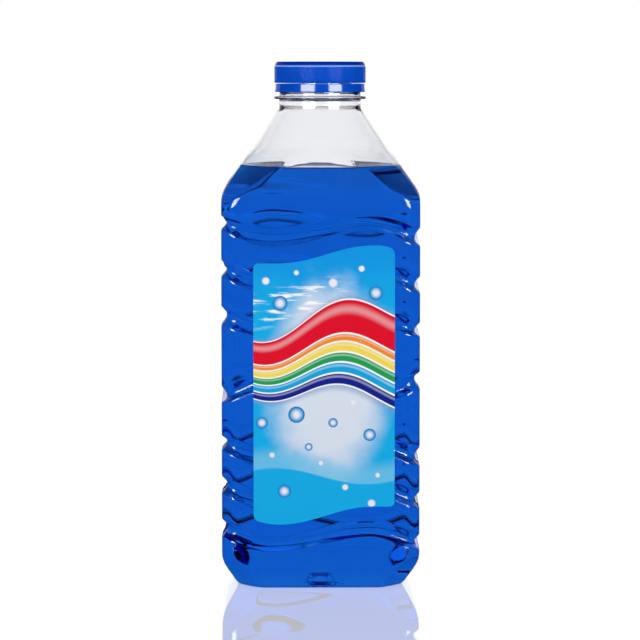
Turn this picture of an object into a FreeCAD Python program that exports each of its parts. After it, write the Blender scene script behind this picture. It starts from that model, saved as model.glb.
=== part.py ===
import FreeCAD, Part
import math
import os

from FreeCAD import Vector

# A clear blown bottle for liquid laundry detergent, square in section, with a screw cap.
# Millimetres. +Z is up, the front with the label faces -Y, and the origin is the centre
# of the surface that the bottle stands on.

# Blown body: four flats joined by round corners
BODY_WIDTH = 98.0
CORNER_RADIUS = 8.0
WALL = 0.7
BODY_TOP = 196.6
TOP_EDGE_RADIUS = 12.0

# Shoulder: each flat leans in and ends in an arch, and between the arches it is turned
SHOULDER_HEIGHT = 40.8
FLAT_MARGIN = 0.75
FLAT_TOP_CLEARANCE = 1.5
ARCH_HEIGHT = 19.5
ARCH_INSET = 1.15
CORNER_SLOPE = 1.4
CORNER_TOP_EDGE = 10.0
CORNER_MARGIN = 0.3

# Base: slanted lower sides, round foot corners and a push-up with a raised nub
SLANT_HEIGHT = 13.5
SLANT_INSET = 8.0
SLANT_EDGE_RADIUS = 18.0
HEEL_RADIUS = 5.0
FOOT_CORNER_RADIUS = 50.0
FOOT_CORNER_HEIGHT = 17.0
FOOT_CORNER_EDGE = 12.0
DOME_RADIUS = 24.5
DOME_HEIGHT = 4.5
NUB_RADIUS = 7.0
NUB_TOP_RADIUS = 6.0
NUB_HEIGHT = 9.5

# Wavy grooves: three above the middle one, which waves the other way, and three below it
GROOVE_DEPTH = 2.5
GROOVE_WIDTH = 6.8
MIDDLE_GROOVE_HEIGHT = 101.0
MIDDLE_WAVE = 4.6
OUTER_WAVE = 4.1
SHORT_SWING = 17.5
GROUP_GAP_ABOVE = 32.0
GROUP_GAP_BELOW = 31.0
GROOVE_STEP_ABOVE = 22.8
GROOVE_STEP_BELOW = 21.3
GROOVES_PER_GROUP = 3
WAVE_ROUNDNESS = 0.65
CUTTER_OVERHANG = 0.4

# Neck finish
NECK_RADIUS = 20.5
THREAD_ROOT_RADIUS = 19.5
BORE_RADIUS = 17.6
SUPPORT_RING_RADIUS = 23.2
SUPPORT_RING_THICKNESS = 1.4
SUPPORT_RING_RISE = 4.9
BEAD_RADIUS = 21.3
BEAD_HEIGHT = 1.2
BEAD_SLOPE = 0.8
NECK_TOP_RISE = 14.4

# Tamper ring, left on the neck above the support ring
BAND_GAP = 2.1
BAND_HEIGHT = 4.1
BAND_WALL = 0.9
BAND_FLARE = 0.3
BAND_LIP = 1.0
RUNNING_CLEARANCE = 0.3

# Screw cap and its sealing disc
SLIT = 0.45
CAP_WALL = 1.1
CAP_TOP_THICKNESS = 1.8
CAP_EDGE = 1.1
RIB_COUNT = 120
RIB_DEPTH = 0.3
RIB_TOP_MARGIN = 2.6
RIB_ROOT = 0.35
RIB_OVERLAP = 0.2
LINER_THICKNESS = 1.1
LINER_CLEARANCE = 0.3

# Liquid
FILL_HEIGHT = 209.3
LIQUID_CLEARANCE = 0.3

# Front label: its upper edge swells to the right, and its lower edge follows it
LABEL_WIDTH = 69.5
LABEL_THICKNESS = 0.2
LABEL_OFFSET = 1.6
LABEL_CORNER = 2.5
LABEL_TOP = 162.6
LABEL_CREST_RISE = 9.0
LABEL_RIGHT_RISE = 6.8
LABEL_CREST_AT = 26.0
LABEL_BOTTOM = 35.8
LABEL_TROUGH_DROP = 2.5
LABEL_LOWER_RISE = 6.6
LABEL_LOWER_MIDDLE_RISE = 2.3
LABEL_TROUGH_AT = -21.5

# Heights, radii and slopes that follow from the values above
BODY_HALF = BODY_WIDTH / 2
NECK_FOOT = BODY_TOP + SHOULDER_HEIGHT
FLAT_SLOPE = (BODY_HALF - NECK_RADIUS - FLAT_MARGIN) / SHOULDER_HEIGHT
ARCH_RADIUS = BODY_HALF - FLAT_SLOPE * ARCH_HEIGHT - ARCH_INSET
NECK_SLOPE = (ARCH_RADIUS - NECK_RADIUS) / (SHOULDER_HEIGHT - ARCH_HEIGHT)
CORNER_REACH = (BODY_HALF - CORNER_RADIUS) * math.sqrt(2) + CORNER_RADIUS + CORNER_MARGIN
CORNER_TOP = BODY_TOP + ARCH_HEIGHT - (CORNER_REACH - ARCH_RADIUS) / CORNER_SLOPE
RING_BOTTOM = NECK_FOOT + SUPPORT_RING_RISE
RING_TOP = RING_BOTTOM + SUPPORT_RING_THICKNESS
NECK_TOP = RING_TOP + NECK_TOP_RISE
BAND_BOTTOM = RING_TOP + BAND_GAP
BAND_TOP = BAND_BOTTOM + BAND_HEIGHT
BEAD_BOTTOM = BAND_BOTTOM + BAND_LIP + RUNNING_CLEARANCE
BAND_BORE = BEAD_RADIUS + RUNNING_CLEARANCE
CAP_BOTTOM = BAND_TOP + SLIT
CAP_BORE = BAND_BORE
CAP_RADIUS = CAP_BORE + CAP_WALL
CAP_TOP = NECK_TOP + LINER_THICKNESS + CAP_TOP_THICKNESS
GROOVE_ANGLE = math.atan2(GROOVE_WIDTH / 2, GROOVE_DEPTH)
UP = Vector(0, 0, 1)
ORIGIN = Vector(0, 0, 0)


def outline(corners):
    """Closed outline in the XZ plane through (x, z, radius) corners, each rounded by a tangent arc."""
    count = len(corners)
    spans = []
    for index in range(count):
        x, z, radius = corners[index]
        here = Vector(x, 0, z)
        before = Vector(corners[index - 1][0], 0, corners[index - 1][1])
        after = Vector(corners[(index + 1) % count][0], 0, corners[(index + 1) % count][1])
        back = (before - here).normalize()
        ahead = (after - here).normalize()
        if radius == 0:
            spans.append((here, here, here))
            continue
        half_angle = back.getAngle(ahead) / 2
        reach = radius / math.tan(half_angle)
        inwards = (back + ahead).normalize()
        middle = here + inwards * (radius / math.sin(half_angle) - radius)
        spans.append((here + back * reach, middle, here + ahead * reach))
    edges = []
    for index in range(count):
        start, middle, end = spans[index]
        if start.distanceToPoint(end) > 0:
            edges.append(Part.Arc(start, middle, end).toShape())
        edges.append(Part.makeLine(end, spans[(index + 1) % count][0]))
    return Part.Wire(edges)


def symmetric_face(right_side, inset):
    """Face between a right side, given from the bottom up, and its mirror image, moved in by the inset."""
    left_side = [(-x, z, radius) for x, z, radius in reversed(right_side)]
    wire = outline(right_side + left_side)
    if inset > 0:
        wire = wire.makeOffset2D(-inset, 2)
    return Part.Face(wire)


def turned(profile_corners):
    """Solid of revolution about Z of a closed outline that touches the axis."""
    return Part.Face(outline(profile_corners)).revolve(ORIGIN, UP, 360)


def rounded_square(half, corner, height):
    """Level square outline with round corners."""
    flat = half - corner
    bend = corner * math.sqrt(0.5)
    edges = []
    for turn in range(4):
        side = Part.makeLine(Vector(-flat, -half, height), Vector(flat, -half, height))
        middle = Vector(flat + bend, -flat - bend, height)
        round_corner = Part.Arc(Vector(flat, -half, height), middle, Vector(half, -flat, height)).toShape()
        for edge in (side, round_corner):
            edge.rotate(ORIGIN, UP, 90 * turn)
            edges.append(edge)
    return Part.Wire(edges)


def flats_side():
    """Right side of the body seen from the front: slanted foot, upright flat and leaning shoulder."""
    clear = SUPPORT_RING_RADIUS + FLAT_TOP_CLEARANCE
    lean_top = BODY_TOP + (BODY_HALF - clear) / FLAT_SLOPE
    return [
        (BODY_HALF - SLANT_INSET, 0, HEEL_RADIUS),
        (BODY_HALF, SLANT_HEIGHT, SLANT_EDGE_RADIUS),
        (BODY_HALF, BODY_TOP, TOP_EDGE_RADIUS),
        (clear, lean_top, 0),
        (clear, NECK_TOP, 0),
    ]


def turned_side(neck_radius, top):
    """Right side of the turned form that rounds the corners, from the foot to the neck."""
    neck_foot = NECK_FOOT + (NECK_RADIUS - neck_radius) / NECK_SLOPE
    return [
        (FOOT_CORNER_RADIUS, 0, HEEL_RADIUS),
        (CORNER_REACH, FOOT_CORNER_HEIGHT, FOOT_CORNER_EDGE),
        (CORNER_REACH, CORNER_TOP, CORNER_TOP_EDGE),
        (ARCH_RADIUS, BODY_TOP + ARCH_HEIGHT, 0),
        (neck_radius, neck_foot, 0),
        (neck_radius, top, 0),
    ]


def blown_form(inset, neck_radius, top):
    """The blown outline with every face moved in by the inset, up to a neck of the given radius."""
    prism = Part.Face(rounded_square(BODY_HALF - inset, CORNER_RADIUS - inset, 0)).extrude(UP * top)
    face = symmetric_face(flats_side(), inset)
    face.translate(Vector(0, -BODY_WIDTH, 0))
    front_slab = face.extrude(Vector(0, 2 * BODY_WIDTH, 0))
    side_slab = front_slab.copy()
    side_slab.rotate(ORIGIN, UP, 90)
    spun_face = symmetric_face(turned_side(neck_radius, top), inset)
    half_plane = Part.makePlane(2 * BODY_WIDTH, 2 * NECK_TOP, ORIGIN, Vector(0, -1, 0), Vector(1, 0, 0))
    spun = spun_face.common(half_plane).Faces[0].revolve(ORIGIN, UP, 360)
    return prism.common(front_slab).common(side_slab).common(spun)


def push_up(inset):
    """The dome and nub pressed up into the base, grown by the inset."""
    return turned([
        (0, -CUTTER_OVERHANG, 0),
        (DOME_RADIUS + inset, -CUTTER_OVERHANG, 0),
        (DOME_RADIUS + inset, inset, 0),
        (NUB_RADIUS + inset, DOME_HEIGHT + inset, 0),
        (NUB_TOP_RADIUS + inset, NUB_HEIGHT + inset, 0),
        (0, NUB_HEIGHT + inset, 0),
    ])


class GrooveRing:
    """V-shaped ring that is laid round the body bend by bend, starting at the left end of the front flat."""

    def __init__(self, height, depth):
        opening = (depth + CUTTER_OVERHANG) * math.tan(GROOVE_ANGLE)
        self.place = Vector(CORNER_RADIUS - BODY_HALF, -BODY_HALF, height)
        self.heading = Vector(1, 0, 0)
        self.outward = Vector(0, -1, 0)
        self.faces = []
        apex = self.place - self.outward * depth
        mouth = self.place + self.outward * CUTTER_OVERHANG
        self.profile = Part.makePolygon([apex, mouth - UP * opening, mouth + UP * opening, apex])

    def turn(self, centre, axis, degrees):
        """Sweep the profile round an axis and carry it to the end of the bend."""
        self.faces += self.profile.revolve(centre, axis, degrees).Faces
        self.profile.rotate(centre, axis, degrees)
        rotation = FreeCAD.Rotation(axis, degrees)
        self.place = centre + rotation.multVec(self.place - centre)
        self.heading = rotation.multVec(self.heading)
        self.outward = rotation.multVec(self.outward)

    def bend(self, radius, degrees):
        """Bend within the flat, upwards where the angle is positive."""
        upwards = self.outward.cross(self.heading)
        self.turn(self.place + upwards * math.copysign(radius, degrees), self.outward, degrees)

    def run(self, length):
        """Straight stretch."""
        step = self.heading * length
        self.faces += self.profile.extrude(step).Faces
        self.profile.translate(step)
        self.place = self.place + step

    def swing(self, length, rise):
        """S-curve that is level at both ends, over a length of the flat."""
        drop = abs(rise)
        radius = WAVE_ROUNDNESS * (length ** 2 + drop ** 2) / (4 * drop)
        straight = math.sqrt(length ** 2 + drop ** 2 - 4 * radius * drop)
        lean = math.asin(2 * radius / math.hypot(length, 2 * radius - drop))
        lean -= math.atan2(2 * radius - drop, length)
        degrees = math.copysign(math.degrees(lean), rise)
        self.bend(radius, degrees)
        self.run(straight)
        self.bend(radius, -degrees)

    def round_corner(self):
        """Level quarter turn round a corner of the body."""
        self.turn(self.place - self.outward * CORNER_RADIUS, UP, 90)

    def solid(self):
        shell = Part.makeShell(self.faces)
        shell.sewShape()
        return Part.Solid(Part.Shell(shell.Faces))


def groove_cutter(height, wave, inset):
    """Wavy ring: two short swings and a broad one on the front and back, one long swing on each side."""
    ring = GrooveRing(height + wave, GROOVE_DEPTH + inset / math.sin(GROOVE_ANGLE))
    flat = 2 * (BODY_HALF - CORNER_RADIUS)
    for pair in range(2):
        ring.swing(SHORT_SWING, -2 * wave)
        ring.swing(flat - 2 * SHORT_SWING, 2 * wave)
        ring.swing(SHORT_SWING, -2 * wave)
        ring.round_corner()
        ring.swing(flat, 2 * wave)
        ring.round_corner()
    return ring.solid()


def groove_rows():
    """Height and wave of each groove, the middle one waving the other way."""
    rows = [(MIDDLE_GROOVE_HEIGHT, -MIDDLE_WAVE)]
    for step in range(GROOVES_PER_GROUP):
        rows.append((MIDDLE_GROOVE_HEIGHT + GROUP_GAP_ABOVE + step * GROOVE_STEP_ABOVE, OUTER_WAVE))
        rows.append((MIDDLE_GROOVE_HEIGHT - GROUP_GAP_BELOW - step * GROOVE_STEP_BELOW, OUTER_WAVE))
    return rows


def body_solid(inset, neck_radius, top):
    """The blown form with its push-up and its grooves."""
    cutters = [groove_cutter(height, wave, inset) for height, wave in groove_rows()]
    return blown_form(inset, neck_radius, top).cut([push_up(inset)] + cutters)


def bottle():
    """Clear blown bottle: one shell with a turned neck finish and a support ring."""
    outer = body_solid(0, NECK_RADIUS, RING_BOTTOM + SUPPORT_RING_THICKNESS / 2)
    finish = turned([
        (0, RING_BOTTOM, 0),
        (SUPPORT_RING_RADIUS, RING_BOTTOM, 0),
        (SUPPORT_RING_RADIUS, RING_TOP, 0),
        (NECK_RADIUS, RING_TOP, 0),
        (NECK_RADIUS, BEAD_BOTTOM, 0),
        (BEAD_RADIUS, BEAD_BOTTOM, 0),
        (BEAD_RADIUS, BEAD_BOTTOM + BEAD_HEIGHT, 0),
        (THREAD_ROOT_RADIUS, BEAD_BOTTOM + BEAD_HEIGHT + BEAD_SLOPE, 0),
        (THREAD_ROOT_RADIUS, NECK_TOP, 0),
        (0, NECK_TOP, 0),
    ])
    cavity = body_solid(WALL, BORE_RADIUS + WALL, NECK_TOP)
    bore = Part.makeCylinder(BORE_RADIUS, NECK_TOP - RING_BOTTOM, Vector(0, 0, RING_TOP))
    return outer.fuse(finish).cut(cavity).cut(bore)


def detergent():
    """The liquid, up to its fill line and just clear of the wall."""
    inset = WALL + LIQUID_CLEARANCE
    poured = body_solid(inset, NECK_RADIUS, NECK_TOP)
    room = Part.makeBox(BODY_WIDTH, BODY_WIDTH, FILL_HEIGHT, Vector(-BODY_HALF, -BODY_HALF, 0))
    return poured.common(room)


def tamper_band():
    """Ring left on the neck when the cap first opens, held by a lip under the neck's bead."""
    lip_bore = NECK_RADIUS + RUNNING_CLEARANCE
    outer = BAND_BORE + BAND_WALL
    return turned([
        (lip_bore, BAND_BOTTOM, 0),
        (outer + BAND_FLARE, BAND_BOTTOM, 0),
        (outer, BAND_TOP, 0),
        (BAND_BORE, BAND_TOP, 0),
        (BAND_BORE, BAND_BOTTOM + BAND_LIP, 0),
        (lip_bore, BAND_BOTTOM + BAND_LIP, 0),
    ])


def cap():
    """Screw cap, a cup with a bevelled top edge and fine upright ribs round its skirt."""
    under_top = NECK_TOP + LINER_THICKNESS
    rib_top = CAP_TOP - RIB_TOP_MARGIN
    skirt_radius = CAP_RADIUS - RIB_ROOT
    cup = turned([
        (CAP_BORE, CAP_BOTTOM, 0),
        (skirt_radius, CAP_BOTTOM, 0),
        (skirt_radius, rib_top, 0),
        (CAP_RADIUS, rib_top, 0),
        (CAP_RADIUS, CAP_TOP - CAP_EDGE, 0),
        (CAP_RADIUS - CAP_EDGE, CAP_TOP, 0),
        (0, CAP_TOP, 0),
        (0, under_top, 0),
        (CAP_BORE, under_top, 0),
    ])
    corners = []
    for step in range(2 * RIB_COUNT):
        angle = math.pi * step / RIB_COUNT
        reach = CAP_RADIUS + RIB_DEPTH * (step % 2)
        corners.append(Vector(reach * math.cos(angle), reach * math.sin(angle), CAP_BOTTOM))
    ribs = Part.Face(Part.makePolygon(corners + corners[:1])).extrude(UP * (rib_top - CAP_BOTTOM))
    middle = Part.makeCylinder(skirt_radius - RIB_OVERLAP, rib_top - CAP_BOTTOM, Vector(0, 0, CAP_BOTTOM))
    return cup.fuse(ribs.cut(middle)).removeSplitter()


def cap_liner():
    """Soft sealing disc pressed on the lip of the neck."""
    return Part.makeCylinder(CAP_BORE - LINER_CLEARANCE, LINER_THICKNESS, Vector(0, 0, NECK_TOP))


def front_label():
    """Printed film on the front flat, its upper and lower edges drawn as one long wave."""
    half = LABEL_WIDTH / 2
    top = [
        Vector(-half, 0, LABEL_TOP),
        Vector(LABEL_TROUGH_AT, 0, LABEL_TOP),
        Vector((LABEL_TROUGH_AT + LABEL_CREST_AT) / 2, 0, LABEL_TOP + LABEL_CREST_RISE / 2),
        Vector(LABEL_CREST_AT, 0, LABEL_TOP + LABEL_CREST_RISE),
        Vector(half, 0, LABEL_TOP + LABEL_RIGHT_RISE),
    ]
    bottom = [
        Vector(-half, 0, LABEL_BOTTOM),
        Vector(LABEL_TROUGH_AT, 0, LABEL_BOTTOM - LABEL_TROUGH_DROP),
        Vector((LABEL_TROUGH_AT + LABEL_CREST_AT) / 2, 0, LABEL_BOTTOM + LABEL_LOWER_MIDDLE_RISE),
        Vector(LABEL_CREST_AT, 0, LABEL_BOTTOM + LABEL_LOWER_RISE),
        Vector(half, 0, LABEL_BOTTOM + LABEL_LOWER_RISE),
    ]
    edges = []
    for points in (top, bottom):
        curve = Part.BSplineCurve()
        curve.interpolate(points)
        edges.append(curve.toShape())
    left = Part.makeLine(bottom[0], top[0])
    right = Part.makeLine(bottom[-1], top[-1])
    face = Part.Face(Part.Wire(Part.__sortEdges__([edges[0], right, edges[1], left])))
    film = face.extrude(Vector(0, LABEL_THICKNESS, 0))
    upright = [edge for edge in film.Edges if edge.BoundBox.XLength < 0.001 and edge.BoundBox.ZLength < 0.001]
    film = film.makeFillet(LABEL_CORNER, upright)
    film.translate(Vector(LABEL_OFFSET, -BODY_HALF - LABEL_THICKNESS, 0))
    return film


os.makedirs("parts", exist_ok=True)
for make_piece in (bottle, detergent, tamper_band, cap, cap_liner, front_label):
    piece = make_piece()
    solid = piece.Solids[0]
    if len(piece.Solids) != 1 or not solid.isValid():
        raise SystemExit("%s is not one valid solid" % make_piece.__name__)
    print(make_piece.__name__, round(solid.Volume / 1000, 2), "cubic centimetres", len(solid.Faces), "faces")
    solid.exportStep("parts/%s.step" % make_piece.__name__)
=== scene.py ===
import math

import bmesh
import bpy
import numpy as np
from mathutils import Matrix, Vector


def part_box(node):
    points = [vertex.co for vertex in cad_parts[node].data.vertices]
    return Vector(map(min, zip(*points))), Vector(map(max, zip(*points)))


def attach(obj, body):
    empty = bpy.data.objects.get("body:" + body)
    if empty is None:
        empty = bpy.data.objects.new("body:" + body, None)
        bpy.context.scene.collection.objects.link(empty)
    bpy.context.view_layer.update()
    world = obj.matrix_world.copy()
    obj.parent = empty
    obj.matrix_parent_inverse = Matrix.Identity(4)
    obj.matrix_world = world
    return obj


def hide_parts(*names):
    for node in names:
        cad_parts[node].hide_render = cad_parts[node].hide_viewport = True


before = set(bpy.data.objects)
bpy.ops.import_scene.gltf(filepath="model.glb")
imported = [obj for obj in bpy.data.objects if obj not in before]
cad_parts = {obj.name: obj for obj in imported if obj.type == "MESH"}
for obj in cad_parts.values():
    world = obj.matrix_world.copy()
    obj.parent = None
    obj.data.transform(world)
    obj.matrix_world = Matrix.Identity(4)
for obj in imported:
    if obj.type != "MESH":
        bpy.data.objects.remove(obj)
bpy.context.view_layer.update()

# Bottle
# One shell of clear polyester, blown into a mould from a moulded preform: four flats joined by round
# corners, seven wavy grooves that stiffen them, a turned shoulder and neck, and a push-up in the base.
# Sizes are in millimetres, as on the mould drawing, and become metres as each point is placed.
MM = 0.001
bottle_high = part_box("bottle")[1]
BODY_HALF = bottle_high.x / MM
NECK_TOP = bottle_high.z / MM
CORNER_RADIUS = 8.0
FLAT_HALF = BODY_HALF - CORNER_RADIUS
CORNER_RUN = CORNER_RADIUS * math.pi / 2
WALL = 0.7
CREASE = 1.2
BODY_TOP = 196.6
NECK_FOOT = 237.4
NECK_RADIUS = 20.5
BORE_RADIUS = 17.6
FLAT_SLOPE = 0.680
ARCH_RADIUS = 34.6
ARCH_TOP = 216.1
CORNER_REACH = 66.3
CORNER_TOP = 193.5
HEEL_RADIUS = 5.0
HEEL_INSET = 8.0
FOOT_TOP = 13.5
FOOT_BEND = 18.0
SHOULDER_BEND = 12.0
SHOULDER_END = 24.7
SHOULDER_END_BEND = 3.0
CORNER_FOOT = 50.0
CORNER_FOOT_TOP = 17.0
CORNER_FOOT_BEND = 12.0
CORNER_BEND = 10.0
ARCH_BEND = 20.0
NECK_BEND = 4.0
PAST_TOP = 5.0
DOME_RADIUS = 24.5
DOME_HEIGHT = 4.5
DOME_STEPS = 11
NUB_RADIUS = 7.0
NUB_HEIGHT = 9.5
GROOVE_DEPTH = 2.7
GROOVE_WIDTH = 7.6
GROOVE_FLOOR = 1.5
BRIM_BLEND = 0.3
FLOOR_BLEND = 0.6
GROOVES = (
    (27.4, 4.1), (48.7, 4.1), (70.0, 4.1), (101.0, -4.6), (133.0, 4.1), (155.8, 4.1), (178.8, 4.2),
)
WAVES_START = 5.0
WAVES_END = 192.4
FINE_STEPS = (6.2, 5.4, 4.9, 4.5, 4.15, 3.8, 3.4, 2.7, 1.6, 0.8, 0.45, 0.2)
COARSE_STEPS = (6.2, 4.15, 3.4, 1.6)
TROUGH_AT = 24.5
ARC_STEPS = 12
FLAT_STEPS = 38
CORNER_STEPS = 14
THREAD_PITCH = 4.2
THREAD_ROOT = 19.5
THREAD_DEPTH = 1.2
THREAD_HALF_WIDTH = 0.75
THREAD_FADE = 0.8
THREAD_FLANK = 1.2


def rounded(corners, inset):
    """Heights and reaches along straight runs joined by tangent arcs, moved in by an inset."""
    points = []
    for before, here, after in zip(corners, corners[1:], corners[2:]):
        corner = Vector(here[:2])
        back = (Vector(before[:2]) - corner).normalized()
        ahead = (Vector(after[:2]) - corner).normalized()
        half_angle = back.angle(ahead) / 2
        centre = corner + (back + ahead).normalized() * here[2] / math.sin(half_angle)
        reach = here[2] / math.tan(half_angle)
        start = (corner + back * reach - centre).normalized()
        end = (corner + ahead * reach - centre).normalized()
        outwards = Vector((ahead.y, -ahead.x))
        bulge = 1 if outwards.dot(end) > 0 else -1
        for step in range(ARC_STEPS + 1):
            towards = start.slerp(end, step / ARC_STEPS)
            points.append(centre + towards * (here[2] - bulge * inset))
    last = Vector(corners[-1][:2]) - Vector(corners[-2][:2])
    outwards = Vector((last.y, -last.x)).normalized()
    points.append(Vector(corners[-1][:2]) - outwards * inset)
    return [point.y for point in points], [point.x for point in points]


def blown_sides(inset, neck_radius):
    """The side of the flats and the side of the turned form, seen from the front."""
    neck_slope = (ARCH_RADIUS - NECK_RADIUS) / (NECK_FOOT - ARCH_TOP)
    neck_foot = NECK_FOOT + (NECK_RADIUS - neck_radius) / neck_slope
    flats = [
        (0, 0),
        (BODY_HALF - HEEL_INSET, 0, HEEL_RADIUS),
        (BODY_HALF, FOOT_TOP, FOOT_BEND),
        (BODY_HALF, BODY_TOP, SHOULDER_BEND),
        (SHOULDER_END, BODY_TOP + (BODY_HALF - SHOULDER_END) / FLAT_SLOPE, SHOULDER_END_BEND),
        (SHOULDER_END, NECK_TOP + PAST_TOP),
    ]
    spun = [
        (0, 0),
        (CORNER_FOOT, 0, HEEL_RADIUS),
        (CORNER_REACH, CORNER_FOOT_TOP, CORNER_FOOT_BEND),
        (CORNER_REACH, CORNER_TOP, CORNER_BEND),
        (ARCH_RADIUS, ARCH_TOP, ARCH_BEND),
        (neck_radius, neck_foot, NECK_BEND),
        (neck_radius, NECK_TOP + PAST_TOP),
    ]
    return rounded(flats, inset), rounded(spun, inset)


def smooth_least(first, second, width):
    """The lesser of two values, blended where they are close."""
    near = max(width - abs(first - second), 0) / width
    return min(first, second) - near * near * width / 4


def ramp(start, end, share):
    """Level at both ends, as a cosine, and its slope."""
    share = min(max(share, 0), 1)
    height = start + (end - start) * (1 - math.cos(math.pi * share)) / 2
    slope = (end - start) * math.pi / 2 * math.sin(math.pi * share)
    return height, slope


def wave(side, along):
    """A groove's height at a place along a side, as a share of its wave, and its slope a millimetre."""
    if side % 2:
        height, slope = ramp(-1, 1, (along + FLAT_HALF) / (2 * FLAT_HALF))
        return height, slope / (2 * FLAT_HALF)
    end = FLAT_HALF + CORNER_RUN
    if along < -TROUGH_AT:
        height, slope = ramp(1, -1, (along + end) / (end - TROUGH_AT))
        return height, slope / (end - TROUGH_AT)
    if along < TROUGH_AT:
        height, slope = ramp(-1, 1, (along + TROUGH_AT) / (2 * TROUGH_AT))
        return height, slope / (2 * TROUGH_AT)
    height, slope = ramp(1, -1, (along - TROUGH_AT) / (end - TROUGH_AT))
    return height, slope / (end - TROUGH_AT)


def columns():
    """Direction, facing, wave height and wave slope of each upright line of the mesh, side by side."""
    made = []
    for side in range(4):
        turn = Vector((math.cos(math.pi / 2 * side), math.sin(math.pi / 2 * side)))
        places = []
        for step in range(FLAT_STEPS):
            along = FLAT_HALF * (2 * step / FLAT_STEPS - 1)
            places.append((Vector((along, -BODY_HALF)), Vector((0, -1)), wave(side, along)))
        for step in range(CORNER_STEPS):
            angle = math.pi / 2 * step / CORNER_STEPS
            facing = Vector((math.sin(angle), -math.cos(angle)))
            point = Vector((FLAT_HALF, -FLAT_HALF)) + facing * CORNER_RADIUS
            run = CORNER_RADIUS * angle
            level = wave(side + 1, run - FLAT_HALF - CORNER_RUN) if side % 2 else wave(side, FLAT_HALF + run)
            places.append((point, facing, level))
        for point, facing, level in places:
            turned_point, turned_facing = (
                Vector((v.x * turn.x - v.y * turn.y, v.x * turn.y + v.y * turn.x)) for v in (point, facing)
            )
            made.append((turned_point.normalized(), turned_facing, *level))
    return made


COLUMNS = columns()


def square_reach(direction, half, corner):
    """Distance from the axis to the side of a square with round corners."""
    long, short = sorted((abs(direction.x), abs(direction.y)), reverse=True)
    flat = half - corner
    if short / long * half <= flat:
        return half / long
    middle = flat * (long + short)
    return middle + math.sqrt(max(middle * middle - 2 * flat * flat + corner * corner, 0))


def groove_depth(distance):
    """Depth of a groove at a distance from its middle: a rounded floor, steep sides and soft brims."""
    rise = (abs(distance) - GROOVE_FLOOR) / (GROOVE_WIDTH / 2 - GROOVE_FLOOR)
    share = smooth_least(rise, 1, BRIM_BLEND)
    return GROOVE_DEPTH * (1 + smooth_least(-share, 0, FLOOR_BLEND))


def wave_at(height):
    """How far the rows wave at a height, going evenly from each groove to the next."""
    heights = [WAVES_START] + [groove for groove, _ in GROOVES] + [WAVES_END]
    waves = [0.0] + [swing for _, swing in GROOVES] + [0.0]
    return float(np.interp(height, heights, waves))


def blown_row(height, inset, sides):
    """One row round the blown wall, which follows the nearest grooves."""
    swing = wave_at(height)
    flats, spun = sides
    made = []
    for direction, facing, level, slope in COLUMNS:
        z = height + swing * level
        z += inset * max(0, 1 - z / HEEL_RADIUS)
        half = float(np.interp(z, *flats))
        reach = square_reach(direction, half, CORNER_RADIUS - inset)
        reach = smooth_least(reach, float(np.interp(z, *spun)), CREASE)
        depth = 0
        for groove, groove_swing in GROOVES:
            if abs(height - groove) < GROOVE_WIDTH:
                depth = groove_depth((height - groove) * math.cos(math.atan(slope * groove_swing)))
        point = direction * reach - facing * depth
        made.append((point.x, point.y, z))
    return made


def blown_heights(top, steps):
    """Heights of the rows of the blown wall: close together over curves and grooves."""
    rows = [HEEL_RADIUS * (1 - math.cos(math.radians(angle))) for angle in range(4, 74, 10)]
    rows += list(np.arange(4.0, 18.0, 1.5)) + [20.0]
    reach = steps[0]
    for groove, _ in GROOVES:
        rows += [groove - step for step in steps] + [groove] + [groove + step for step in steps]
    for (lower, _), (upper, _) in zip(GROOVES, GROOVES[1:]):
        spare = upper - lower - 2 * reach
        rows += [lower + reach + spare / 3, upper - reach - spare / 3]
    rows += list(np.arange(186.5, 216.0, 1.3)) + list(np.arange(216.5, 236.0, 2.2))
    rows += [FILL_HEIGHT, FILL_HEIGHT + 0.06] + list(np.arange(236.2, 241.4, 0.8)) + [242.0]
    return [row for row in sorted(rows) if row < top]


def thread_share(height, line, low, high):
    """How much of a thread's depth stands at a height, beside the helical line that it follows."""
    fade = min(max(min(line - low, high - line) / THREAD_FADE, 0), 1)
    across = abs(height - line) / THREAD_HALF_WIDTH
    return fade * min(max(0.5 + THREAD_FLANK - THREAD_FLANK * across, 0), 1)


def turned_row(radius, height, thread=0.0):
    """One round row, with a helical thread standing out from it where a depth is given."""
    made = []
    for direction, *_ in COLUMNS:
        reach = radius
        if thread:
            turns = math.atan2(direction.y, direction.x) / (2 * math.pi)
            low, high = THREAD_SPAN
            for lap in range(-1, 4):
                line = low + THREAD_PITCH * (turns + lap)
                reach = max(reach, radius + thread * thread_share(height, line, low, high))
        made.append((direction.x * reach, direction.y * reach, height))
    return made


def base_rows(inset, contact):
    """The base from the nub out to the ring that the bottle stands on."""
    nub = [(1.0, NUB_HEIGHT), (3.4, NUB_HEIGHT), (NUB_RADIUS - 2.2, NUB_HEIGHT)]
    nub += [(NUB_RADIUS - 1.3, NUB_HEIGHT - 0.4), (NUB_RADIUS - 0.8, NUB_HEIGHT - 1.2)]
    nub += [(NUB_RADIUS - 0.5, NUB_HEIGHT - 3.0), (NUB_RADIUS, DOME_HEIGHT + 0.6)]
    nub += [(NUB_RADIUS + 0.7, DOME_HEIGHT + 0.1)]
    rows = [turned_row(radius + inset, height + inset) for radius, height in nub]
    for step in range(1, DOME_STEPS):
        share = step / DOME_STEPS
        radius = NUB_RADIUS + 1 + (DOME_RADIUS - NUB_RADIUS - 2) * share
        rows.append(turned_row(radius + inset, DOME_HEIGHT * (1 - share ** 1.25) + inset))
    rows.append(turned_row(DOME_RADIUS + inset - 0.2, 0.14 + inset))
    ring = turned_row(DOME_RADIUS + inset + 0.6, inset)
    rows.append(ring)
    for share in (0.35, 0.7):
        rows.append([
            (x + (ox - x) * share, y + (oy - y) * share, inset)
            for (x, y, _), (ox, oy, _) in zip(ring, contact)
        ])
    return rows


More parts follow.
